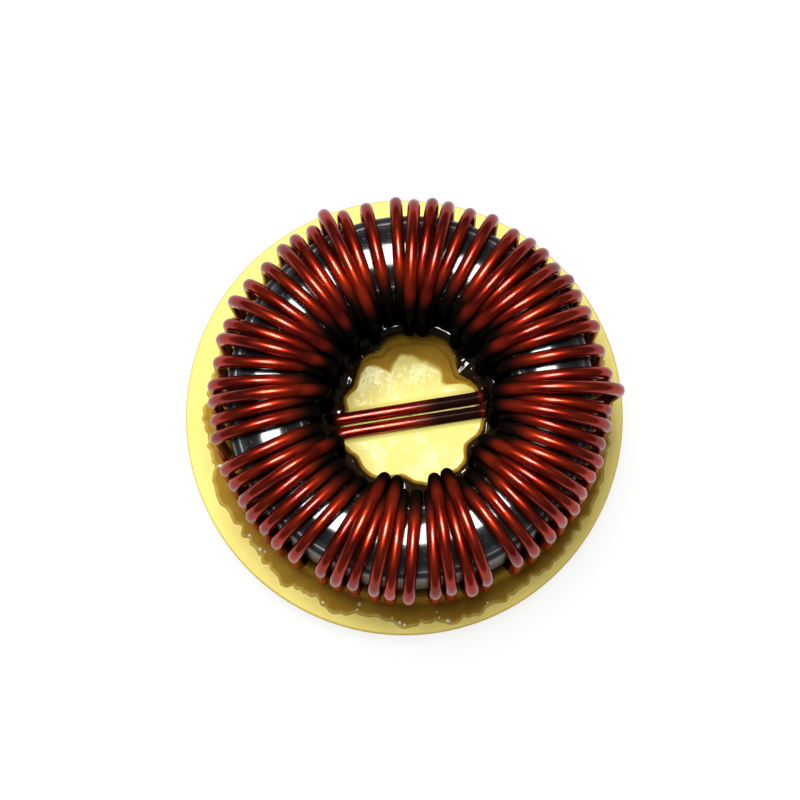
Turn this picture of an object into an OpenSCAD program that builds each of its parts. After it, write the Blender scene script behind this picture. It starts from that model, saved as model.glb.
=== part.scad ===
// Common mode choke: a cased ring core with two enamelled copper windings, glued to a round
// board. The four wire ends pass through the board and stand out below it as lead pins.
// Millimetres, +Z up. The origin is under the board's centre, on the plane of the lead tips.

/* [Core and case] */
// Outer diameter of the plastic case
case_d = 35.2; // [31:0.2:44]
// Bore of the plastic case
case_bore = 20; // [17:0.2:24]
// Height of the closed case
case_h = 13.6; // [9:0.2:20]
// Thickness of the case walls and floor
case_wall = 0.9; // [0.7:0.05:1.4]
// Thickness of the lid's top at its crown
lid_t = 1.3; // [1:0.1:1.8]
// Height of the lid's rounded crown
lid_crown = 0.5; // [0.2:0.05:0.6]
// How far the lid's two skirts reach down over the tray walls
skirt_h = 1.6; // [0.8:0.1:3]
// Rounding of the case's four edges
case_edge = 0.8; // [0.4:0.05:0.9]
// Space round the core in the case
core_gap = 0.2; // [0.1:0.05:0.5]
// Space between the lid and the tray
skirt_gap = 0.05; // [0.02:0.01:0.1]

/* [Winding] */
// Diameter of the enamelled wire
wire_d = 1.25; // [1:0.05:1.3]
// Space between neighbouring turns in the bore
turn_gap = 0.06; // [0.04:0.01:0.2]
// Space between the wire and the case
wind_gap = 0.05; // [0.02:0.01:0.15]
// Angle of the bore that the back winding takes up
sector_a = 171; // [120:0.5:171]
// Angle of the bore that the front winding takes up
sector_b = 170; // [120:0.5:170]
// Direction of the back winding's first turn in the bore
start_a = 188.5; // [187:0.5:189]
// Direction of the front winding's first turn in the bore
start_b = 8; // [7:0.5:9]
// How much higher than its place in the groove a riding turn lies over its two neighbours
ride_slack = 0.1; // [0.1:0.02:0.2]
// Share of a full step taken by a turn that nests over the gap of its two neighbours
nest_share = 0.558; // [0.54:0.002:0.6]
// Direction of the back winding's first turn on the outer wall
wall_start_a = 192; // [190:0.5:194]
// Direction of its last turn there
wall_end_a = 14; // [13:0.5:18]
// Direction of the front winding's first turn on the outer wall
wall_start_b = 7; // [5:0.5:8]
// Direction of its last turn there
wall_end_b = -158.5; // [-160:0.5:-154]
// How far the turns stand off the case's outer wall
wall_slack = 0.45; // [0.1:0.05:0.8]
// How much further the upper bends of single turns stand off it
slack_stray = 0.3; // [0:0.05:0.5]
// Step in which loose turns stand off it further still
loose_gap = 0.1; // [0:0.02:0.12]
// Height of the round arch that each turn makes over the lid
arch_h = 3.1; // [2.7:0.1:3.8]

/* [Leads] */
// Direction of the two leads that cross the hole
cross_angle = 9; // [6:0.5:10]
// Distance between the two crossing leads
cross_gap = 1.4; // [1.4:0.05:1.8]
// Distance between the left and right pairs of pins
pin_span = 30; // [26:0.5:34]
// Distance between the two pins of a winding
pin_pair = 15; // [13:0.5:18]
// Length of the pins below the board
pin_len = 3.5; // [2:0.1:6]
// Diameter of a pin with its coat of tin
pin_d = 1.35; // [1.1:0.05:1.45]
// Space round a pin in its hole
pin_gap = 0.1; // [0.05:0.05:0.3]
// Space under the leads where they lie on the board
lead_rest = 0.03; // [0.01:0.01:0.1]

/* [Board] */
// Thickness of the board
plate_t = 1.6; // [1:0.1:2.4]
// Width of the bare rim outside the coil
plate_rim = 2.4; // [2:0.1:6]
// How far the coil sits to the right of the board's centre
coil_off = 0.6; // [0:0.1:0.8]
// Bevel left on the board's edge by the router
plate_edge = 0.15; // [0.05:0.05:0.3]

/* [Glue] */
// Depth of glue over the leads
glue_cover = 0.07; // [0.03:0.01:0.3]
// Width of the glue's thin edge outside the coil
glue_out = 0.6; // [0.55:0.05:0.9]
// Width of the glue's thin edge inside the hole
glue_in = 0.8; // [0.6:0.05:1.2]
// Thickness of the glue's thin edge
glue_toe = 0.4; // [0.2:0.05:0.6]
// Width of the slope between the thin edge and the bed
glue_slope = 1; // [0.6:0.1:1.4]
// How far the glue has spilled to one side
glue_spill = 0.35; // [0:0.05:0.35]
// Direction of the spill
spill_angle = -115; // [-180:5:180]
// Depth of the ragged edge
glue_rag = 0.1; // [0.04:0.02:0.1]
// Space between the glue and the wires
glue_gap = 0.08; // [0.05:0.01:0.15]
// Width of the glue round the place where a lead goes down through the board
glue_pad = 0.6; // [0.4:0.05:0.8]

/* [Hidden] */
$fn = 96;

// Turns that ride over their neighbours in the bore, counted from each winding's first turn
over_a = [2, 5, 7, 10, 13, 17, 19, 23, 25, 28];
over_b = [1, 3, 7, 9, 13, 15, 19, 21, 27];
// Places where the hand-wound turns stand wider apart on the outer wall: [turn, extra degrees
// before it]
wide_a = [[4, 1.5], [5, 1.5], [7, 1], [8, 1.5], [9, 2], [10, 1.5], [15, 1.5], [16, 4], [20, 1],
          [21, 1.8], [22, 2.4], [30, 2]];
wide_b = [[11, 1.6], [13, 5.4], [17, 2.4], [20, 0.8], [23, 3.4], [24, 1.6]];
// Loose turns: [turn, steps that its upper bend stands off the case further]
loose_a = [[7, 6], [13, 6]];
loose_b = [[1, 13], [14, 7], [17, 6]];

// Sides of the wire's section, bends of a turn's arch, and bends at a lower case edge
wire_sides = 8;
arch_bends = 7;
foot_bends = 2;
// Hand-wound unevenness of the turns' outer ends: its size in degrees, and the angle by which it
// moves on from turn to turn
outer_stray = 0.25;
stray_turn = 137.5;
// Folds of the wire's path smaller than this count as straight
least_fold = 0.001;
// Share of its lift that a riding turn still has half-way in over the top, and share of its way
// out under the case that it keeps low, to pass its neighbours
crest_share = 0.8;
low_share = 0.75;
// Step between the places on the case's inner edge where a turn's arch may rest on it
rest_step = 3;
// Length of a cut through a piece, in thicknesses of the piece
through = 3;

// Radii of the wire's centre line: on the outer wall, in the bore, and riding in the bore
wall_r = case_d / 2 + wall_slack + wire_d / 2;
bore_r = case_bore / 2 - wind_gap - wire_d / 2;
// Radii of the wire's bends over the case edges, at its centre line: in the bore and outside
bore_bend = case_edge + wind_gap + wire_d / 2;
wall_bend = bore_bend + wall_slack;
// Steps between turns side by side in the bore, and to a turn that rides over two others
full_step = 2 * asin((wire_d + turn_gap) / (2 * bore_r));
nest_step = full_step * nest_share;
groove_h = sqrt(pow(wire_d + turn_gap, 2) - pow(bore_r * sin(nest_step), 2));
ride_r = bore_r * cos(nest_step) - groove_h - ride_slack;
ride = bore_r - ride_r;

// Heights, from the lead tips up
plate_z = pin_len;
floor_z = plate_z + plate_t;
// Height down to which a lead's wire reaches inside its coat of tin
tin_z = plate_z - pin_d;
lead_z = floor_z + lead_rest + wire_d / 2;
// Cut taken off each corner of a lead's route: a share of its height over the board, so that a
// lead still stands upright where it enters its hole
knee_share = 0.7;
lead_cut = knee_share * (lead_z - floor_z);
glue_t = lead_rest + wire_d + glue_cover;
under_z = floor_z + glue_t + wind_gap + wire_d / 2 + ride;
case_z = under_z + wire_d / 2 + wind_gap;
lid_z = case_z + case_h;
// Height where the arches spring from their legs: as low as the case's inner edge allows
arch_half = (wall_r - bore_r) / 2;
edge_z = lid_z - lid_crown - case_edge;
spring_z = max([for (a = [0 : rest_step : 90])
    edge_z + bore_bend * sin(a)
        - arch_h * sqrt(1 - pow(1 - bore_bend / arch_half * (1 - cos(a)), 2))]);

coil_r = wall_r + wire_d / 2;
hole_r = ride_r - wire_d / 2;
plate_r = coil_r + plate_rim;
skirt_t = case_wall / 2;
core_floor_z = case_z + case_wall;
core_h = case_h - case_wall - lid_t - core_gap;
case_width = (case_d - case_bore) / 2;
// Radius of the crown's arc, which spans the lid between its rounded edges
crown_half = case_width / 2 - case_edge;
crown_r = (pow(crown_half, 2) + pow(lid_crown, 2)) / (2 * lid_crown);

// Glue: corners of its ragged outline, lobes along its outer and inner edge, and how the second
// and third wave of the outline compare with the first
rag_points = 180;
out_lobes = 24;
in_lobes = 12;
rag_half = 0.5;
rag_more = 1.5;
rag_shift = 70;
rag_slow = 5;
// Distance that the bed's slopes start inside the coil's outline
bed_inset = 0.1;

function polar(r, az, z) = [r * cos(az), r * sin(az), z];
function unit(v) = v / norm(v);
function rides(k, over) = max([for (o = over) o == k ? 1 : 0]) == 1;
function sum(v, i = 0) = i == len(v) ? 0 : v[i] + sum(v, i + 1);
function extra(k, list) = sum([for (w = list) if (w[0] == k) w[1]]);
function extra_to(k, list) = sum([for (w = list) if (w[0] <= k) w[1]]);
function step(k, over) = rides(k, over) || rides(k - 1, over) ? nest_step : full_step;

// Directions of a winding's turns in the bore, until its sector is used up
function bore_angles(k, az, left, over) =
    let (next = step(k + 1, over))
    left < 0 ? [] : concat([az], bore_angles(k + 1, az - next, left - next, over));

// Directions of the same turns on the outer wall, where they have room to spread
function wall_angles(count, from, to, wide) =
    let (last = count - 1, pitch = (from - to - extra_to(last, wide)) / last)
    [for (k = [0 : last]) from - k * pitch - extra_to(k, wide)
        + (k == 0 ? 0 : outer_stray * sin(k * stray_turn))];

// Corners of the wire's way round a case edge, in radius and height
function bend(r, z, radius, from, count) =
    [for (i = [0 : count - 1])
        let (a = from + 90 * (i + 0.5) / count, reach = radius / cos(45 / count))
        [r + reach * cos(a), z + reach * sin(a)]];
function place(section, az) = [for (p = section) polar(p[0], az, p[1])];

// Corners of a turn's arch, half an ellipse from the head of its outer leg to that of its inner one
function arch(outer, inner, height) =
    [for (i = [0 : arch_bends - 1])
        let (a = 180 * (i + 0.5) / arch_bends, reach = 1 / cos(90 / arch_bends),
             way = (1 - reach * cos(a)) / 2)
        outer + way * (inner - outer) + [0, 0, height * reach * sin(a)]];

// One turn: up the outer wall, in over the top, down the bore and out under the case
function turn(k, last, bore_az, wall_az, next_az, lift, stand_off) =
    let (wall_c = wall_r - wall_bend,
         bore_c = bore_r - lift + bore_bend,
         under_c = under_z - lift + bore_bend,
         low = [bore_c + low_share * (wall_c - bore_c), under_z - lift])
    concat(
        k == 0 ? [] : place(bend(wall_c, under_z + wall_bend, wall_bend, -90, foot_bends), wall_az),
        arch(polar(wall_r + stand_off, wall_az, spring_z), polar(bore_r - lift, bore_az, spring_z),
             arch_h + crest_share * lift),
        k == last ? [] : place(bend(bore_c, under_c, bore_bend, 180, foot_bends), bore_az),
        lift == 0 ? [] : place([low], bore_az + low_share * (next_az - bore_az)));

function turns(lay) =
    let (last = len(lay[0]) - 1)
    [for (k = [0 : last])
        let (stand_off = slack_stray * (1 + cos(k * stray_turn)) / 2 + loose_gap * extra(k, lay[3]))
        each turn(k, last, lay[0][k], lay[1][k], lay[1][min(k + 1, last)], rides(k, lay[2]) ? ride : 0,
                  stand_off)];

// Routes of the leads. The back winding's pins stand on the left and the front winding's on the
// right, half a turn round from each other: side is 1 for the back winding, -1 for the front one.
function pin_xy(side, pair) = side * [-pin_span / 2, pair * pin_pair / 2] - [coil_off, 0];
function at(xy, z) = [xy[0], xy[1], z];
function cross_xy(side, along) =
    side * (along * [cos(cross_angle), sin(cross_angle)]
            + cross_gap / 2 * [-sin(cross_angle), cos(cross_angle)]);
function flat(p) = [p[0], p[1]];
function start_route(side, lay) = [pin_xy(side, -1), flat(polar(wall_r, lay[1][0], 0))];
function end_route(side, lay) =
    let (last = len(lay[0]) - 1, knee_r = bore_r - (rides(last, lay[2]) ? ride : 0))
    [flat(polar(knee_r, lay[0][last], 0)), cross_xy(side, hole_r - lead_cut), cross_xy(side, -ride_r),
     pin_xy(side, 1)];

// A route with each inner corner cut off
function cut(p) = concat(
    [p[0]],
    [for (i = [1 : 1 : len(p) - 2])
        each [p[i] + lead_cut * unit(p[i - 1] - p[i]), p[i] + lead_cut * unit(p[i + 1] - p[i])]],
    [p[len(p) - 1]]);
function inner(p) = [for (i = [1 : len(p) - 2]) p[i]];

function wire_path(side, lay) =
    let (coil = turns(lay),
         first = start_route(side, lay),
         final = end_route(side, lay),
         lead_in = concat([at(first[0], tin_z)], [for (p = first) at(p, lead_z)], [coil[0]]),
         lead_out = concat([coil[len(coil) - 1]], [for (p = final) at(p, lead_z)],
                           [at(final[len(final) - 1], tin_z)]))
    concat([lead_in[0]], inner(cut(lead_in)), coil, inner(cut(lead_out)), [lead_out[len(lead_out) - 1]]);

// Directions across the wire, carried along the path without twist
function carry(along, i, across) =
    i == len(along) ? [] :
    let (now = unit(across - (across * along[i]) * along[i]))
    concat([now], carry(along, i + 1, now));

// Round wire along a path, mitred at every corner
module wire(path) {
    last = len(path) - 1;
    into = [for (i = [0 : last]) unit(i == 0 ? path[1] - path[0] : path[i] - path[i - 1])];
    out = [for (i = [0 : last]) unit(i == last ? path[i] - path[i - 1] : path[i + 1] - path[i])];
    along = [for (i = [0 : last]) unit(into[i] + out[i])];
    across = carry(along, 0, [1, 0, 0]);
    rings = [for (i = [0 : last])
        let (u = across[i],
             v = cross(along[i], u),
             fold = out[i] - into[i],
             turned = norm(fold) < least_fold ? [0, 0, 0] : unit(fold),
             stretch = 2 / norm(into[i] + out[i]) - 1)
        for (j = [0 : wire_sides - 1])
            let (a = 360 * j / wire_sides, w = cos(a) * u + sin(a) * v)
            path[i] + wire_d / 2 * (w + stretch * (w * turned) * turned)];
    function corner(i, j) = i * wire_sides + j % wire_sides;
    sides = [for (i = [0 : last - 1], j = [0 : wire_sides - 1])
        each [[corner(i, j), corner(i + 1, j), corner(i + 1, j + 1)],
              [corner(i, j), corner(i + 1, j + 1), corner(i, j + 1)]]];
    ends = [[for (j = [0 : wire_sides - 1]) corner(0, j)],
            [for (j = [wire_sides - 1 : -1 : 0]) corner(last, j)]];
    polyhedron(points = rings, faces = concat(sides, ends));
}

// How each winding lies: its turns' directions in the bore and on the wall, those that ride, and
// those that are loose
bore_a = bore_angles(0, start_a, sector_a, over_a);
bore_b = bore_angles(0, start_b, sector_b, over_b);
lay_a = [bore_a, wall_angles(len(bore_a), wall_start_a, wall_end_a, wide_a), over_a, loose_a];
lay_b = [bore_b, wall_angles(len(bore_b), wall_start_b, wall_end_b, wide_b), over_b, loose_b];

// Tinned end of a lead, up to the board
module pin(xy) {
    translate(at(xy, 0))
        cylinder(d = pin_d, h = plate_z);
}

module winding(side, lay) {
    on_board() {
        wire(wire_path(side, lay));
        for (pair = [-1, 1])
            pin(pin_xy(side, pair));
    }
}

// All pieces are drawn about the ring's axis and set down together, beside the board's centre
module on_board() {
    translate([coil_off, 0, 0])
        union()
            children();
}

// Section of the closed case, with all four edges rounded and a crown between the upper two
module case_section() {
    shoulder = case_h - lid_crown;
    translate([case_bore / 2, case_z]) {
        translate([case_edge, 0])
            square([case_width - 2 * case_edge, shoulder]);
        translate([0, case_edge])
            square([case_width, shoulder - 2 * case_edge]);
        for (x = [case_edge, case_width - case_edge], z = [case_edge, shoulder - case_edge])
            translate([x, z])
                circle(r = case_edge);
        intersection() {
            translate([case_width / 2, case_h - crown_r])
                circle(r = crown_r);
            translate([case_edge, shoulder - case_edge])
                square([case_width - 2 * case_edge, case_edge + lid_crown]);
        }
    }
}

// Band of the section between two heights, kept clear of both case walls by an inset
module band(inset, from_z, to_z) {
    translate([case_bore / 2 + inset, from_z])
        square([case_width - 2 * inset, to_z - from_z]);
}

// Round board of glass-fibre laminate with its four lead holes
module base_plate() {
    color("#e6d98c")
        difference() {
            rotate_extrude()
                polygon([[0, plate_z], [plate_r - plate_edge, plate_z],
                         [plate_r, plate_z + plate_edge], [plate_r, floor_z - plate_edge],
                         [plate_r - plate_edge, floor_z], [0, floor_z]]);
            on_board()
                for (side = [-1, 1], pair = [-1, 1])
                    translate(at(pin_xy(side, pair), plate_z - plate_t))
                        cylinder(d = pin_d + 2 * pin_gap, h = through * plate_t);
        }
}

// Outline of the set glue: a circle with a ragged edge
module ragged(r, lobes) {
    polygon([for (i = [0 : rag_points - 1])
        let (a = 360 * i / rag_points,
             rag = sin(lobes * a) + rag_half * (sin(rag_more * lobes * a + rag_shift) + sin(rag_slow * a)))
        (r + glue_rag * rag) * [cos(a), sin(a)]]);
}

// Clear way for a lead between two points of its route
module channel(from, to) {
    way = to - from;
    bore_d = wire_d + 2 * glue_gap;
    translate(from)
        rotate(atan2(way[1], way[0])) {
            translate([0, -bore_d / 2])
                square([norm(way), bore_d]);
            for (x = [0, norm(way)])
                translate([x, 0])
                    circle(d = bore_d);
        }
}

// Section of the glue's bed under the coil, with a slope on both sides
module bed_section() {
    polygon([[hole_r - bed_inset, 0], [hole_r - bed_inset + glue_slope, glue_t],
             [coil_r - bed_inset - glue_slope, glue_t], [coil_r - bed_inset, 0]]);
}

// Bed of set glue that holds the coil on the board, open where the leads run through it
module glue_bed() {
    routes = [start_route(1, lay_a), cut(end_route(1, lay_a)),
              start_route(-1, lay_b), cut(end_route(-1, lay_b))];
    color("#a8842c")
        on_board()
            translate([0, 0, floor_z])
                difference() {
                    union() {
                        rotate_extrude()
                            bed_section();
                        linear_extrude(glue_toe)
                            difference() {
                                union() {
                                    translate(glue_spill * [cos(spill_angle), sin(spill_angle)])
                                        ragged(coil_r + glue_out, out_lobes);
                                    for (side = [-1, 1], pair = [-1, 1])
                                        translate(pin_xy(side, pair))
                                            circle(d = wire_d + 2 * (glue_gap + glue_pad));
                                }
                                ragged(hole_r - glue_in, in_lobes);
                            }
                    }
                    translate([0, 0, -glue_t])
                        linear_extrude(through * glue_t)
                            for (route = routes, i = [0 : len(route) - 2])
                                channel(route[i], route[i + 1]);
                }
}

// Ring core, wound from thin magnetic tape
module core() {
    color("#6f7276")
        on_board()
            rotate_extrude()
                band(case_wall + core_gap, core_floor_z, core_floor_z + core_h);
}

// Ring-shaped tray of the case, stepped at the top of both walls for the lid
module case_tray() {
    rim_z = lid_z - lid_t - skirt_gap;
    step_z = lid_z - lid_t - skirt_h - skirt_gap;
    color("#17171a")
        on_board()
            rotate_extrude()
                difference() {
                    intersection() {
                        case_section();
                        union() {
                            band(0, case_z, step_z);
                            band(skirt_t + skirt_gap, case_z, rim_z);
                        }
                    }
                    band(case_wall, core_floor_z, lid_z);
                }
}

// Lid of the case: a crowned ring with a skirt over each tray wall
module case_lid() {
    color("#222226")
        on_board()
            rotate_extrude()
                difference() {
                    intersection() {
                        case_section();
                        band(0, lid_z - lid_t - skirt_h, lid_z);
                    }
                    band(skirt_t, case_z, lid_z - lid_t);
                }
}

// Back winding, one length of enamelled wire from pin to pin
module winding_a() {
    color("#7c2413")
        winding(1, lay_a);
}

// Front winding, one length of enamelled wire from pin to pin
module winding_b() {
    color("#8a2a16")
        winding(-1, lay_b);
}

base_plate();
glue_bed();
core();
case_tray();
case_lid();
winding_a();
winding_b();
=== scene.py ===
import math

import bmesh
import bpy
from mathutils import Matrix, Vector, noise


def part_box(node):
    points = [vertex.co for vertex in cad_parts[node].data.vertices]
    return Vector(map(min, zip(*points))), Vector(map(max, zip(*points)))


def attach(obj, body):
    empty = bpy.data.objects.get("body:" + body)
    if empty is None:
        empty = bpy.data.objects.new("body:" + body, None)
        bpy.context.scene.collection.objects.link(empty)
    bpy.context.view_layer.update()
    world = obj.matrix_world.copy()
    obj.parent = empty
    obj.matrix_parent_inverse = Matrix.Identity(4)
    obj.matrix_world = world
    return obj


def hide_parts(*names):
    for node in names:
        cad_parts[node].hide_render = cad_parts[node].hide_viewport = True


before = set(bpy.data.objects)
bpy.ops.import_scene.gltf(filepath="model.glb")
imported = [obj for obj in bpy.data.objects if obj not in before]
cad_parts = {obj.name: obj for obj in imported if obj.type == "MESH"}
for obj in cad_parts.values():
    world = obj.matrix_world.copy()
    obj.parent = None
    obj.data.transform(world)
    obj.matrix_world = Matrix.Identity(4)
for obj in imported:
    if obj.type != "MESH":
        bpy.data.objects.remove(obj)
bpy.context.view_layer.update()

# Base plate
# A round disc routed from pale yellow glass-fibre laminate. Its weave shows faintly through the
# resin, and the routed edge is a little darker and rougher than the faces.
BOARD_YELLOW = (0.84, 0.71, 0.17, 1.0)
BOARD_THREAD = (0.77, 0.61, 0.12, 1.0)
BOARD_EDGE = (0.60, 0.45, 0.08, 1.0)
RESIN_GLOW = (0.0009, 0.0007, 0.0003)
RESIN_CLOUDS = 260.0
WEAVE_PITCH, WEAVE_RELIEF = 0.00042, 0.00003
ROUTED_RIM = (-0.00012, -0.00004)
plate_low, plate_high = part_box("base_plate")
plate_r = (plate_high.x - plate_low.x) / 2


class Shade:
    """A shader value. Sums on it add Math nodes to its material's tree."""

    def __init__(self, tree, socket=None):
        self.tree = tree
        self.socket = socket

    def node(self, kind, inputs=None, out=0, **settings):
        """One output of a new node, with its settings made first and its inputs set or linked."""
        made = self.tree.nodes.new("ShaderNode" + kind)
        for name, value in settings.items():
            setattr(made, name, value)
        for name, value in (inputs or {}).items():
            if isinstance(value, Shade):
                self.tree.links.new(value.socket, made.inputs[name])
            else:
                made.inputs[name].default_value = value
        return Shade(self.tree, made.outputs[out])

    def math(self, operation, first, second=0.0):
        return self.node("Math", {0: first, 1: second}, operation=operation)

    def __add__(self, other):
        return self.math("ADD", self, other)

    def __sub__(self, other):
        return self.math("SUBTRACT", self, other)

    def __rsub__(self, other):
        return self.math("SUBTRACT", other, self)

    def __mul__(self, other):
        return self.math("MULTIPLY", self, other)

    __radd__ = __add__
    __rmul__ = __mul__

    def ramp(self, low, high, about=0.0):
        """0 at low and 1 at high, smooth between, with both counted from a middle value."""
        ends = {"Value": self, "From Min": about + low, "From Max": about + high}
        return self.node("MapRange", ends, interpolation_type="SMOOTHSTEP")

    def sine(self, pitch):
        """A wave from -1 to 1 along this value."""
        return self.math("SINE", self * (2 * math.pi / pitch))

    def grain(self, place, scale, detail):
        """Noise from 0 to 1 over a place, with lumps of about 1 / scale."""
        return self.node("TexNoise", {"Vector": place, "Scale": scale, "Detail": detail})

    def axis_distance(self, place, axis_x=0.0):
        """Distance of a place from an upright axis."""
        centred = self.node("Mapping", {"Vector": place, "Location": (-axis_x, 0.0, 0.0)})
        flat = self.node("VectorMath", {0: centred, 1: (1.0, 1.0, 0.0)}, operation="MULTIPLY")
        return self.node("VectorMath", {0: flat}, out="Value", operation="LENGTH")

    def mix(self, factor, first, second):
        """A colour between two others."""
        return self.node("Mix", {0: factor, 6: first, 7: second}, out=2, data_type="RGBA")

    def bump(self, height, distance, strength):
        return self.node("Bump", {"Height": height, "Distance": distance, "Strength": strength})


def new_finish(name, **constants):
    """A material, a Shade to build on, its object coordinates, and a way to feed its shader."""
    made = bpy.data.materials.new(name)
    made.use_nodes = True
    shader = made.node_tree.nodes["Principled BSDF"]
    for socket, value in constants.items():
        shader.inputs[socket.replace("_", " ")].default_value = value
    shade = Shade(made.node_tree)
    place = shade.node("TexCoord", out="Object")

    def feed(socket, value):
        made.node_tree.links.new(value.socket, shader.inputs[socket])

    return made, shade, place, feed


def axes(shade, place):
    """The three coordinates of a place, as values."""
    return [shade.node("SeparateXYZ", {0: place}, out=i) for i in range(3)]


def dress(node, finish):
    """Puts a finish on a carried-over piece."""
    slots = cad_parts[node].data.materials
    slots.clear()
    slots.append(finish)


laminate, shade, place, feed = new_finish("laminate", Specular_IOR_Level=0.3,
                                          Subsurface_Weight=0.06, Subsurface_Radius=RESIN_GLOW)
x, y, _ = axes(shade, place)
weave = x.sine(WEAVE_PITCH) * y.sine(WEAVE_PITCH) * 0.5 + 0.5
cloud = shade.grain(place, RESIN_CLOUDS, 4.0)
rim = shade.axis_distance(place).ramp(*ROUTED_RIM, about=plate_r)
threads = shade.mix(weave * 0.25 + cloud * 0.35, BOARD_YELLOW, BOARD_THREAD)
feed("Base Color", shade.mix(rim * 0.8, threads, BOARD_EDGE))
feed("Roughness", rim * 0.2 + cloud * 0.15 + 0.45)
feed("Normal", shade.bump(weave * 0.5 + cloud, WEAVE_RELIEF, 0.5))
dress("base_plate", laminate)

# Core
# The magnetic ring, wound from thin bright tape. The closed case hides it, and its edges show
# as fine rings when the case is opened.
TAPE_GREY = (0.32, 0.32, 0.34, 1.0)
TAPE_BRIGHT = (0.55, 0.55, 0.56, 1.0)
TAPE_PITCH, TAPE_RELIEF = 0.00012, 0.00001
COIL_X = 0.0006
tape, shade, place, feed = new_finish("core_tape", Metallic=1.0)
layers = shade.axis_distance(place, COIL_X).sine(TAPE_PITCH)
feed("Base Color", shade.mix(layers * 0.3 + 0.5, TAPE_GREY, TAPE_BRIGHT))
feed("Roughness", layers * 0.1 + 0.35)
feed("Normal", shade.bump(layers, TAPE_RELIEF, 0.4))
dress("core", tape)

# Case
# A ring-shaped tray and its lid, moulded in glossy black plastic. The lid's skirts close over the
# tray's walls, and the mould leaves a faint ripple and a few specks, with duller rounded edges.
CASE_BLACK = (0.006, 0.006, 0.007, 1.0)
CASE_GREY = (0.022, 0.022, 0.024, 1.0)
CASE_BORE = 0.020
DULL_INSIDE, DULL_OUTSIDE = (0.0009, 0.0016), (-0.0016, -0.0009)
MOULD_RIPPLE, MOULD_SPECKS, MOULD_RELIEF = 420.0, 5200.0, 0.00006
lid_low, lid_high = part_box("case_lid")
tray_low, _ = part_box("case_tray")
case_r = (lid_high.x - lid_low.x) / 2
plastic, shade, place, feed = new_finish("case_plastic", Specular_IOR_Level=0.5, Coat_Weight=0.25,
                                         Coat_Roughness=0.05)
ripple = shade.grain(place, MOULD_RIPPLE, 3.0)
specks = shade.grain(place, MOULD_SPECKS, 1.0).ramp(0.68, 0.76)
radius = shade.axis_distance(place, COIL_X)
edges = radius.ramp(*DULL_OUTSIDE, about=case_r) + (1 - radius.ramp(*DULL_INSIDE, about=CASE_BORE / 2))
feed("Base Color", shade.mix(specks * 0.7 + ripple * 0.3, CASE_BLACK, CASE_GREY))
feed("Roughness", ripple * 0.1 + specks * 0.2 + edges * 0.28 + 0.07)
feed("Normal", shade.bump(ripple + specks * 0.15, MOULD_RELIEF, 0.35))
for node in ("case_tray", "case_lid"):
    dress(node, plastic)

# Windings
# Two lengths of copper wire under a dark red enamel, wound by hand round the case. Some turns ride
# over their neighbours in the bore, and all four ends are tinned where they leave the board.
WIRE_D = 0.00125
TURN_GAP = 0.00006
WIND_GAP = 0.00005
RIDE_SLACK = 0.0001
WALL_SLACK = 0.00045
SLACK_STRAY = 0.0003
ARCH_H = 0.0031
CREST_SHARE, LOW_SHARE = 0.8, 0.75
CASE_EDGE, LID_CROWN = 0.0008, 0.0005
NEST_SHARE = 0.558
OUTER_STRAY, STRAY_TURN = 0.25, 137.5
CROSS_ANGLE, CROSS_GAP = math.radians(9.0), 0.0014
PIN_SPAN, PIN_PAIR, PIN_D = 0.030, 0.015, 0.00135
PIN_SIDES, TIP_STEPS = 32, 5
LEAD_REST, LEAD_TUCK = 0.00003, WIRE_D / 3
BEND_STEPS, ARCH_STEPS = 5, 24
ROUTE_STEP, EASE_ROUNDS, BAR_ROUNDNESS = 0.0004, 4, 4
WINDINGS = {
    "winding_a": dict(side=1, bore_start=188.5, sector=171.0, wall_start=192.0, wall_end=14.0,
                      over=(2, 5, 7, 10, 13, 17, 19, 23, 25, 28), loose={7: 0.0006, 13: 0.0006},
                      wide={4: 1.5, 5: 1.5, 7: 1.0, 8: 1.5, 9: 2.0, 10: 1.5, 15: 1.5, 16: 4.0,
                            20: 1.0, 21: 1.8, 22: 2.4, 30: 2.0}),
    "winding_b": dict(side=-1, bore_start=8.0, sector=170.0, wall_start=7.0, wall_end=-158.5,
                      over=(1, 3, 7, 9, 13, 15, 19, 21, 27),
                      loose={1: 0.0013, 14: 0.0007, 17: 0.0006},
                      wide={11: 1.6, 13: 5.4, 17: 2.4, 20: 0.8, 23: 3.4, 24: 1.6}),
}
wall_r = case_r + WALL_SLACK + WIRE_D / 2
bore_r = CASE_BORE / 2 - WIND_GAP - WIRE_D / 2
full_step = 2 * math.asin((WIRE_D + TURN_GAP) / (2 * bore_r))
nest_step = full_step * NEST_SHARE
groove_h = math.sqrt((WIRE_D + TURN_GAP) ** 2 - (bore_r * math.sin(nest_step)) ** 2)
ride_r = bore_r * math.cos(nest_step) - groove_h - RIDE_SLACK
ride_up = bore_r - ride_r
bore_bend = CASE_EDGE + WIND_GAP + WIRE_D / 2
wall_bend = bore_bend + WALL_SLACK
spring_z = lid_high.z - LID_CROWN - CASE_EDGE
under_z = tray_low.z - WIND_GAP - WIRE_D / 2
floor_z = plate_high.z
lead_z = floor_z + LEAD_REST + WIRE_D / 2
coil_r = wall_r + WIRE_D / 2
hole_r = ride_r - WIRE_D / 2
coil_axis = Vector((COIL_X, 0.0, 0.0))


def polar(radius, angle, height):
    """A point given by its distance and direction from the coil's axis."""
    return Vector((radius * math.cos(angle), radius * math.sin(angle), height))


def bore_angles(start, sector, over):
    """Directions of the turns in the bore, until the winding's sector is used up."""
    angles, spent, k = [], 0.0, 0
    while spent <= math.radians(sector):
        angles.append(math.radians(start) - spent)
        k += 1
        spent += nest_step if k in over or k - 1 in over else full_step
    return angles


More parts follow.
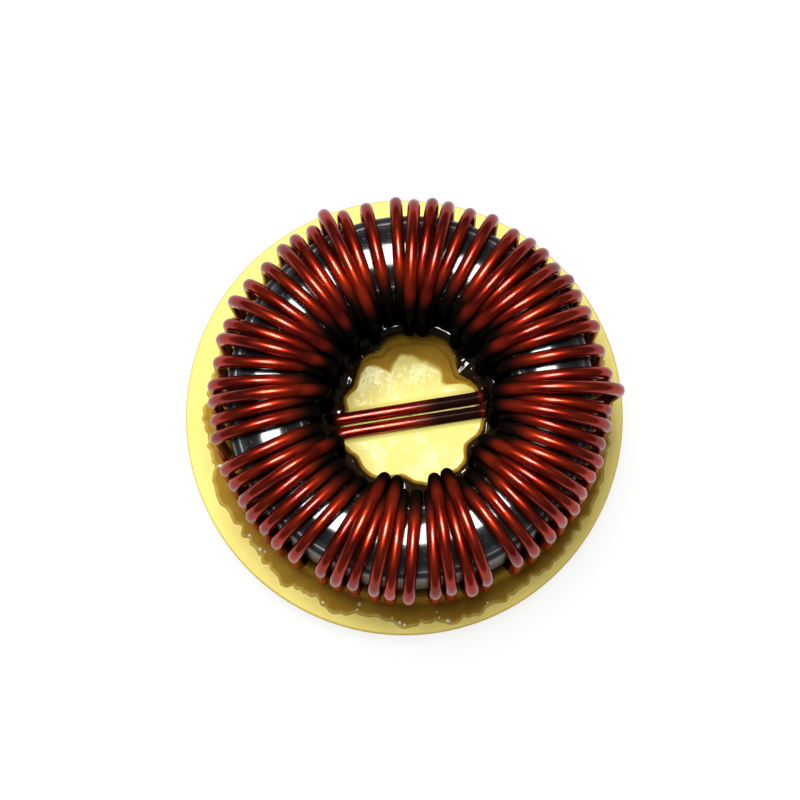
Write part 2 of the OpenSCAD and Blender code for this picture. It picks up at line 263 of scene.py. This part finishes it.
def wall_angles(count, start, end, wide):
    """Directions of the turns on the outer wall, where they have room to spread."""
    pitch = (start - end - sum(wide.values())) / (count - 1)
    angles, at = [], start
    for k in range(count):
        at -= (pitch if k else 0.0) + wide.get(k, 0.0)
        stray = OUTER_STRAY * math.sin(math.radians(k * STRAY_TURN))
        angles.append(math.radians(at + stray))
    return angles


def arc(radius, height, bend, first):
    """Points of the wire's way round a case edge, as radius and height."""
    sweep = [math.radians(first + 90 * i / BEND_STEPS) for i in range(BEND_STEPS + 1)]
    return [(radius + bend * math.cos(a), height + bend * math.sin(a)) for a in sweep]


def arch(outer, inner, height):
    """Points of a turn's arch over the lid, half an ellipse between the heads of its two legs."""
    sweep = [math.pi * i / ARCH_STEPS for i in range(ARCH_STEPS + 1)]
    return [outer.lerp(inner, (1 - math.cos(a)) / 2) + Vector((0.0, 0.0, height * math.sin(a)))
            for a in sweep]


def turn_points(k, last, bore_az, wall_az, next_az, lift, stand_off):
    """One turn: up the outer wall, in over the top, down the bore and out under the case."""
    wall_c = wall_r - wall_bend
    bore_c = bore_r - lift + bore_bend
    foot = [polar(r, wall_az, h) for r, h in arc(wall_c, under_z + wall_bend, wall_bend, -90)]
    over = arch(polar(wall_r + stand_off, wall_az, spring_z), polar(bore_r - lift, bore_az, spring_z),
                ARCH_H + CREST_SHARE * lift)
    heel = [polar(r, bore_az, h) for r, h in arc(bore_c, under_z - lift + bore_bend, bore_bend, 180)]
    points = ([] if k == 0 else foot) + over
    if k == last:
        return points
    low = polar(bore_c + LOW_SHARE * (wall_c - bore_c), bore_az + LOW_SHARE * (next_az - bore_az),
                under_z - lift)
    return points + heel + ([low] if lift else [])


def pin_place(side, pair):
    """Foot of a lead pin, from the coil's axis."""
    return Vector((-side * PIN_SPAN / 2 - COIL_X, pair * side * PIN_PAIR / 2, 0.0))


def lead_points(side, wall_az, final):
    """Routes of a winding's two leads, from pin to coil and from coil to pin."""
    along = polar(side, CROSS_ANGLE, 0.0)
    beside = Vector((-along.y, along.x, 0.0)) * CROSS_GAP / 2
    pins = [pin_place(side, pair) for pair in (-1, 1)]
    flat = Vector((0.0, 0.0, lead_z))
    tin = Vector((0.0, 0.0, plate_low.z - PIN_D))
    knee = Vector((final.x, final.y, 0.0))
    lead_in = [pins[0] + tin, pins[0] + flat, polar(wall_r, wall_az, lead_z)]
    route = (knee, along * (hole_r - LEAD_TUCK) + beside, beside - along * ride_r, pins[1])
    return lead_in, [p + flat for p in route] + [pins[1] + tin]


def resample(points, spacing):
    """Points at even steps along a route."""
    made, rest = [points[0].copy()], 0.0
    for start, end in zip(points, points[1:]):
        length = (end - start).length
        at = spacing - rest
        while at <= length:
            made.append(start.lerp(end, at / length))
            at += spacing
        rest = (rest + length) % spacing
    made.append(points[-1].copy())
    return made


def relaxed(points, rounds):
    """A route with its corners eased as stiff wire eases them."""
    for _ in range(rounds):
        eased = [(a + b * 2 + c) / 4 for a, b, c in zip(points, points[1:], points[2:])]
        points = [points[0]] + eased + [points[-1]]
    return points


def wire_route(side, bore_start, sector, wall_start, wall_end, over, loose, wide):
    """The whole way of a winding's wire, from its first pin through every turn to its second."""
    bore = bore_angles(bore_start, sector, over)
    wall = wall_angles(len(bore), wall_start, wall_end, wide)
    last = len(bore) - 1
    coil = []
    for k in range(len(bore)):
        stray = SLACK_STRAY * (1 + math.cos(math.radians(k * STRAY_TURN))) / 2
        lift = ride_up if k in over else 0.0
        coil += turn_points(k, last, bore[k], wall[k], wall[min(k + 1, last)], lift,
                            stray + loose.get(k, 0.0))
    lead_in, lead_out = lead_points(side, wall[0], coil[-1])
    return [p + coil_axis for p in lead_in + coil + lead_out]


def add(name, data):
    """A new object in the scene."""
    made = bpy.data.objects.new(name, data)
    bpy.context.scene.collection.objects.link(made)
    return made


def shade_smooth(mesh):
    for face in mesh.polygons:
        face.use_smooth = True


def tube(name, route, diameter):
    """A round bar along a route, as a mesh."""
    curve = bpy.data.curves.new(name, "CURVE")
    curve.dimensions = "3D"
    curve.bevel_depth = diameter / 2
    curve.bevel_resolution = BAR_ROUNDNESS
    curve.use_fill_caps = True
    spline = curve.splines.new("POLY")
    spline.points.add(len(route) - 1)
    for point, p in zip(spline.points, route):
        point.co = (p.x, p.y, p.z, 1.0)
    bar = add(name + "_route", curve)
    settled = bar.evaluated_get(bpy.context.evaluated_depsgraph_get())
    mesh = bpy.data.meshes.new_from_object(settled)
    bpy.data.objects.remove(bar)
    shade_smooth(mesh)
    return add(name, mesh)


def add_pins(mesh, side):
    """Adds a winding's two tinned ends below the board, with rounded tips."""
    shape = bmesh.new()
    shape.from_mesh(mesh)
    half = plate_low.z / 2
    for pair in (-1, 1):
        middle = pin_place(side, pair) + coil_axis + Vector((0.0, 0.0, half))
        made = bmesh.ops.create_cone(shape, cap_ends=True, segments=PIN_SIDES, radius1=PIN_D / 2,
                                     radius2=PIN_D / 2, depth=plate_low.z,
                                     matrix=Matrix.Translation(middle))
        tip = {e for v in made["verts"] for e in v.link_edges if all(w.co.z < half for w in e.verts)}
        rounded = bmesh.ops.bevel(shape, geom=list(tip), offset=PIN_D / 3, segments=TIP_STEPS,
                                  profile=0.5, material=-1, affect="EDGES")
        for face in rounded["faces"]:
            face.smooth = True
    shape.to_mesh(mesh)
    shape.free()


ENAMEL_DARK = (0.17, 0.007, 0.004, 1.0)
ENAMEL_RED = (0.43, 0.031, 0.007, 1.0)
ENAMEL_SHEEN = (0.5, 0.12, 0.1, 1.0)
# Near black in the bore: the dark glue soaked into the turns, and painted shade deep in the bore.
BORE_GLUE_AND_SHADE = (0.005, 0.003, 0.002, 1.0)
TIN = (0.62, 0.61, 0.58, 1.0)
TIN_HEIGHTS = (0.0002, 0.0007)
ENAMEL_FLOW, ENAMEL_NUBS, ENAMEL_RELIEF = 330.0, 2600.0, 0.00004
DARK_BORE_RADII, DARK_BORE_HEIGHTS, DARK_BORE_STRAY = (0.0017, 0.0042), (0.0018, 0.0043), 0.0016
LEAD_RADII, LEAD_HEIGHTS, LEAD_DARKER_RIGHT = (-0.0008, 0.0002), (0.0007, 0.0011), (-0.0015, 0.0036)
SHINE_HEIGHTS = (-0.0015, 0.0018)
enamel, shade, place, feed = new_finish("enamelled_wire", Specular_IOR_Level=0.0, Coat_Roughness=0.06,
                                        Coat_IOR=1.33, Specular_Tint=ENAMEL_SHEEN)
x, _, z = axes(shade, place)
radius = shade.axis_distance(place, COIL_X)
flow = shade.grain(place, ENAMEL_FLOW, 3.0)
nubs = shade.grain(place, ENAMEL_NUBS, 2.0)
tinned = 1 - z.ramp(*TIN_HEIGHTS, about=plate_low.z)
# The turns are painted near black and dull from just inside the lid down the bore, with a ragged top
# edge: partly the glue's own colour, partly painted shade.
ragged_height = z - (flow - 0.5) * DARK_BORE_STRAY
outside_dark_bore = 1 - (1 - radius.ramp(*DARK_BORE_RADII, about=bore_r)) * (1 - ragged_height.ramp(*DARK_BORE_HEIGHTS, about=spring_z))
# The crossing leads are painted darker towards the right.
crossing = (1 - radius.ramp(*LEAD_RADII, about=hole_r)) * (1 - z.ramp(*LEAD_HEIGHTS, about=lead_z))
glue_and_painted_shade = shade.math("MAXIMUM", (1 - outside_dark_bore * outside_dark_bore) * (1 - crossing), crossing * x.ramp(*LEAD_DARKER_RIGHT) * 0.97)
clear = shade.math("MAXIMUM", z.ramp(*SHINE_HEIGHTS, about=spring_z) * 0.75 + 0.25, crossing)
red = shade.mix(flow.ramp(0.25, 0.75), ENAMEL_DARK, ENAMEL_RED)
feed("Base Color", shade.mix(tinned, shade.mix(glue_and_painted_shade, red, BORE_GLUE_AND_SHADE), TIN))
feed("Metallic", 0.92 - glue_and_painted_shade * 0.9 + tinned * 0.08)
feed("Roughness", flow * 0.1 + nubs * 0.06 + glue_and_painted_shade * 0.45 + 0.24)
feed("Coat Weight", clear * (1 - glue_and_painted_shade * 0.97) * (1 - tinned * 0.9))
feed("Normal", shade.bump(nubs * 0.4 + flow, ENAMEL_RELIEF, 0.25))
for name, lay in WINDINGS.items():
    route = relaxed(resample(wire_route(**lay), ROUTE_STEP), EASE_ROUNDS)
    wire = tube(name + "_wire", route, WIRE_D)
    add_pins(wire.data, lay["side"])
    wire.data.materials.append(enamel)
    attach(wire, "root")
    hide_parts(name)

# Glue
# Amber glue run in round the foot of the coil and left to set. It climbs the turns a little, wets
# the board in the hole, ends outside in a ragged edge, and holds small bubbles.
# The darkest glue colour is partly the glue's own and partly painted shade; the bubbles' pale colour is a
# painted glint.
GLUE_DARK_AND_SHADE = (0.020, 0.010, 0.003, 1.0)
GLUE_AMBER = (0.38, 0.21, 0.022, 1.0)
GLUE_THIN = (0.76, 0.67, 0.19, 1.0)
BUBBLE_GLINT = (0.86, 0.82, 0.66, 1.0)
GLUE_DEPTH, GLUE_TOE, FILM_DEPTH = 0.00135, 0.0004, 0.00004
GLUE_OUT, GLUE_IN = 0.0007, 0.0003
GLUE_SPILL, SPILL_AT = 0.00045, math.radians(-115.0)
GLUE_LOBES = [(42, 13, 0.0013), (12, 6, 0.0006), (-28, 10, 0.0009), (-60, 8, 0.0006),
              (-98, 17, 0.0012), (-142, 10, 0.0006), (177, 12, 0.0009), (150, 13, 0.0010),
              (116, 8, 0.0007)]
INNER_WANDER, INNER_NIBBLE = 0.0003, 0.00015
TOOTH, TOOTH_SPILL, TOOTH_FINE = 0.0005, 0.0003, 0.0003
INNER_BEAD, OUTER_BEAD = 0.0007, 0.0003
FILLET_H, FILLET_W = 0.0003, 0.00022
LUMP_H, LUMPS = 0.00008, 1100
SWELL_SHARE, SWELL_W = 0.5, 0.005
CLIMB_H, CLIMB_IN, CLIMB_W, CLIMB_STRAY = 0.0007, 0.0042, 0.0016, 0.6
BANK_LAP, BANK_INSIDE, BANK_OUTSIDE = 0.0002, 0.0012, 0.0014
BACK_AT = math.radians(82.0)
FRINGE, FRINGE_BACK, FRINGE_STRAY = 0.00022, 0.0017, 0.8
DARK_SHADE_IN, DARK_SHADE_BACK, DARK_SHADE_W = 0.00005, 0.0006, 0.0003
SHORE_IN, SHORE_W = 0.0026, 0.0018
RIM_IN, RIM_W = 0.0005, 0.0004
glue_seed = Vector((3.1, 7.7, 1.3))


def rough(a, pitch, seed):
    """Noise round the ring, about -1 to 1, with lumps of one pitch in degrees."""
    reach = 360.0 / (2 * math.pi * pitch)
    return noise.noise(glue_seed + polar(reach, a, seed))


def smooth(t):
    """0 to 1 as t goes from 0 to 1, level at both ends."""
    t = min(max(t, 0.0), 1.0)
    return t * t * (3 - 2 * t)


def bead(t):
    """Round shoulder of a wet edge, from 0 to 1."""
    t = min(max(t, 0.0), 1.0)
    return math.sqrt(1 - (1 - t) ** 2)


def lobe(a):
    """How far the glue bulges into the hole in a direction."""
    bulges = []
    for at, width, reach in GLUE_LOBES:
        off = (math.degrees(a) - at + 180) % 360 - 180
        bulges.append(reach * math.exp(-(off / width) ** 2))
    return max(bulges)


def glue_edges(a):
    """Radii of the glue's inner and outer edge in a direction from the coil's axis."""
    wander = INNER_WANDER * rough(a, 20.0, 1.0) + INNER_NIBBLE * rough(a, 6.0, 2.0)
    spill = math.cos(a - SPILL_AT)
    teeth = (TOOTH + TOOTH_SPILL * spill) * (rough(a, 8.0, 3.0) + abs(rough(a, 3.6, 4.0)))
    teeth += TOOTH_FINE * rough(a, 1.8, 6.0)
    return hole_r - GLUE_IN - lobe(a) + wander, coil_r + GLUE_OUT + GLUE_SPILL * spill + teeth


def lead_distance(a, r):
    """Distance from a place in the hole to the nearer crossing lead's centre line."""
    return abs(abs(r * math.sin(a - CROSS_ANGLE)) - CROSS_GAP / 2)


def glue_depth(a, r, inner, outer):
    """Depth of the glue over the board: a film in the hole, the bed under the coil, a thin edge."""
    clear = max(lead_distance(a, r) - WIRE_D / 2, 0.0)
    fillet = FILLET_H * math.exp(-(clear / FILLET_W) ** 2)
    film = FILM_DEPTH + fillet * (r < hole_r)
    lumps = LUMP_H * noise.noise(polar(r, a, 0.0) * LUMPS + glue_seed)
    swell = SWELL_SHARE * lobe(a) * smooth((coil_r - r) / SWELL_W)
    sheet = GLUE_TOE + swell + lumps
    sheet *= bead((r - inner) / INNER_BEAD) * bead((outer - r) / OUTER_BEAD)
    climb = CLIMB_H * smooth((r - coil_r + CLIMB_IN) / CLIMB_W)
    climb *= 1 + CLIMB_STRAY * rough(a, 5.0, 7.0)
    bank = smooth((r - hole_r + BANK_LAP) / BANK_INSIDE) * smooth((coil_r - r) / BANK_OUTSIDE)
    return max(film if r < outer else -FILM_DEPTH, sheet, bank * (GLUE_DEPTH + climb))


def glue_tone_and_shade(a, r, inner, outer):
    """How dark the glue is: 0 for a clear film, 1 for the deep band, its own dark colour with painted
    shade.
    """
    back = smooth(2.2 * math.cos(a - BACK_AT) - 1.1)
    fringe = FRINGE + FRINGE_BACK * back * (1 + FRINGE_STRAY * rough(a, 16.0, 5.0))
    amber = smooth((r - inner + fringe) / (0.5 * fringe))
    # The deep band round the foot of the bore is painted near black: the thick glue's own colour and
    # painted shade.
    deep_and_shaded = smooth((r - inner - DARK_SHADE_IN - DARK_SHADE_BACK * back) / DARK_SHADE_W)
    shore = smooth((r - coil_r + SHORE_IN) / SHORE_W)
    rim = smooth((r - outer + RIM_IN) / RIM_W)
    return 0.55 * amber + 0.45 * deep_and_shaded - 0.5 * shore - 0.22 * rim


# The bed is a grid bent into a ring. Its rows lie over the film, lip, bank, shelf and rim.
RING_STEPS = 800
ROWS = (44, 14, 16, 14, 12)
FILM_START, LIP_IN, LIP_OUT, SHELF_IN, RIM_OUT = 0.0002, 0.0002, 0.0007, 0.0012, 0.00002
ROW_SLACK = 0.001
WELD = 0.000001
bed = bmesh.new()
tone_shade_glint = bed.verts.layers.float.new("tone_shade_glint")
wet = bed.verts.layers.float.new("wet")
bmesh.ops.create_grid(bed, x_segments=RING_STEPS, y_segments=sum(ROWS), size=0.5)
for v in bed.verts:
    a = (v.co.x + 0.5) * 2 * math.pi
    inner, outer = glue_edges(a)
    stops = (FILM_START, inner - LIP_IN, inner + LIP_OUT, coil_r - SHELF_IN, outer - RIM_IN,
             outer + RIM_OUT)
    row = (v.co.y + 0.5) * sum(ROWS)
    for rows, start, end in zip(ROWS, stops, stops[1:]):
        if row <= rows + ROW_SLACK:
            r = start + (end - start) * row / rows
            break
        row -= rows
    v[tone_shade_glint] = glue_tone_and_shade(a, r, inner, outer)
    v[wet] = smooth((v[tone_shade_glint] - 0.75) / 0.25)
    v.co = polar(r, a, floor_z + glue_depth(a, r, inner, outer)) + coil_axis
bmesh.ops.remove_doubles(bed, verts=bed.verts, dist=WELD)
bmesh.ops.recalc_face_normals(bed, faces=bed.faces)

# The bubbles are coloured pale all over: a painted glint on each.
BUBBLES, BUBBLE_SPREAD = 16, 1.6
BUBBLE_IN, BUBBLE_STRAY = 0.00035, 0.0016
BUBBLE_R, BUBBLE_GROWTH = 0.0001, 0.0002
BUBBLE_GLINT_TONE = -0.4
for i in range(BUBBLES):
    spread, stray, growth = [noise.noise(glue_seed * (i + series)) for series in (1, 40, 80)]
    a = SPILL_AT + BUBBLE_SPREAD * spread
    r = glue_edges(a)[1] - BUBBLE_IN - BUBBLE_STRAY * stray ** 2
    at = polar(r, a, floor_z + GLUE_TOE) + coil_axis
    made = bmesh.ops.create_icosphere(bed, subdivisions=3, radius=BUBBLE_R + BUBBLE_GROWTH * abs(growth),
                                      matrix=Matrix.Translation(at))
    for v in made["verts"]:
        v[tone_shade_glint] = BUBBLE_GLINT_TONE
        v[wet] = 1.0
glue_mesh = bpy.data.meshes.new("glue_pool")
bed.to_mesh(glue_mesh)
bed.free()
shade_smooth(glue_mesh)
pool = add("glue_pool", glue_mesh)

GLUE_CLOUDS, GLUE_SKIN, GLUE_WAVES, GLUE_RELIEF = 700.0, 2600.0, 480.0, 0.0001
glue, shade, place, feed = new_finish("glue", Specular_IOR_Level=0.02, Coat_Roughness=0.06)
gloss = shade.node("Attribute", out="Fac", attribute_name="wet")
dark = shade.node("Attribute", out="Fac", attribute_name="tone_shade_glint")
cloud = shade.grain(place, GLUE_CLOUDS, 4.0)
skin = shade.grain(place, GLUE_SKIN, 3.0)
wave = shade.grain(place, GLUE_WAVES, 0.5)
dark = dark + (cloud - 0.5) * 0.3 * dark.ramp(0.02, 0.3)
# Base colour: pale film, amber, and near black where the deep glue carries painted shade; the bubbles
# take a painted glint.
thin = shade.mix(dark.ramp(-0.35, -0.05), BUBBLE_GLINT, GLUE_THIN)
amber = shade.mix(dark.ramp(0.0, 0.5), thin, GLUE_AMBER)
glare = (wave * 0.6 + skin * 0.6).ramp(0.52, 0.76) * (1 - dark.ramp(0.0, 0.15))
feed("Base Color", shade.mix(dark.ramp(0.45, 0.95), amber, GLUE_DARK_AND_SHADE))
feed("Roughness", skin * 0.12 + 0.1 + dark.ramp(0.05, 0.3) * 0.45)
feed("Coat Weight", gloss * 0.85 + glare * 0.22)
feed("Normal", shade.bump(skin * 0.3 + wave * 1.4, GLUE_RELIEF, 0.6))
glue_mesh.materials.append(glue)
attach(pool, "root")
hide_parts("glue_bed")

# Studio
# A wide sheet of white paper under the pin tips, one soft lamp almost overhead and a little
# behind, and a dim even room. The paper glows to the camera and in reflections.
PAPER_WHITE = (0.9, 0.9, 0.9, 1.0)
WHITE = (1.0, 1.0, 1.0, 1.0)
PAPER_SPAN, PAPER_GLOW = 4.0, 0.85
ROOM_LIGHT = 0.12
KEY_WAY, KEY_DISTANCE, KEY_SIZE, KEY_POWER = Vector((-0.08, 0.13, 0.97)), 0.6, 0.23, 5.2
AIM_HEIGHT = 0.012
sheet = bmesh.new()
bmesh.ops.create_grid(sheet, x_segments=1, y_segments=1, size=PAPER_SPAN)
floor_mesh = bpy.data.meshes.new("floor")
sheet.to_mesh(floor_mesh)
sheet.free()
floor = add("floor", floor_mesh)
paper, shade, _, _ = new_finish("paper", Base_Color=PAPER_WHITE, Roughness=0.9)
matt = Shade(paper.node_tree, paper.node_tree.nodes["Principled BSDF"].outputs[0])
seen, mirrored, refracted = [shade.node("LightPath", out="Is %s Ray" % ray)
                             for ray in ("Camera", "Glossy", "Transmission")]
seen = shade.math("MAXIMUM", shade.math("MAXIMUM", seen, mirrored), refracted)
glow = shade.node("Emission", {"Color": WHITE, "Strength": 1.0})
shown = shade.node("MixShader", {0: seen * PAPER_GLOW, 1: matt, 2: glow})
paper.node_tree.links.new(shown.socket, paper.node_tree.nodes["Material Output"].inputs["Surface"])
floor_mesh.materials.append(paper)

room = bpy.data.worlds.new("room")
bpy.context.scene.world = room
room.use_nodes = True
room.node_tree.nodes["Background"].inputs["Color"].default_value = WHITE
room.node_tree.nodes["Background"].inputs["Strength"].default_value = ROOM_LIGHT


def face_coil(made, way, distance):
    """Puts a lamp or camera in a direction from the coil, facing it."""
    way = way.normalized()
    made.location = coil_axis + Vector((0.0, 0.0, AIM_HEIGHT)) + way * distance
    made.rotation_mode = "QUATERNION"
    made.rotation_quaternion = way.to_track_quat("Z", "Y")


light = bpy.data.lights.new("key", "AREA")
light.size = KEY_SIZE
light.energy = KEY_POWER
face_coil(add("key", light), KEY_WAY, KEY_DISTANCE)

# Camera
# Nearly overhead, a few degrees to the front, from far enough for a flat perspective.
# The lens is shifted so that the coil stands a little off the picture's middle.
CAMERA_DISTANCE = 0.45
CAMERA_ELEVATION = math.radians(83.6)
FRAME_PIXELS = 800
FOCAL_PIXELS = 4600
COIL_PIXEL = (410.4, 408.5)
lens = bpy.data.cameras.new("camera")
lens.sensor_width = 36.0
lens.lens = lens.sensor_width * FOCAL_PIXELS / FRAME_PIXELS
lens.shift_x = 0.5 - COIL_PIXEL[0] / FRAME_PIXELS
lens.shift_y = COIL_PIXEL[1] / FRAME_PIXELS - 0.5
camera = add("camera", lens)
face_coil(camera, Vector((0.0, -math.cos(CAMERA_ELEVATION), math.sin(CAMERA_ELEVATION))), CAMERA_DISTANCE)
bpy.context.scene.camera = camera
bpy.context.scene.view_settings.view_transform = "Standard"
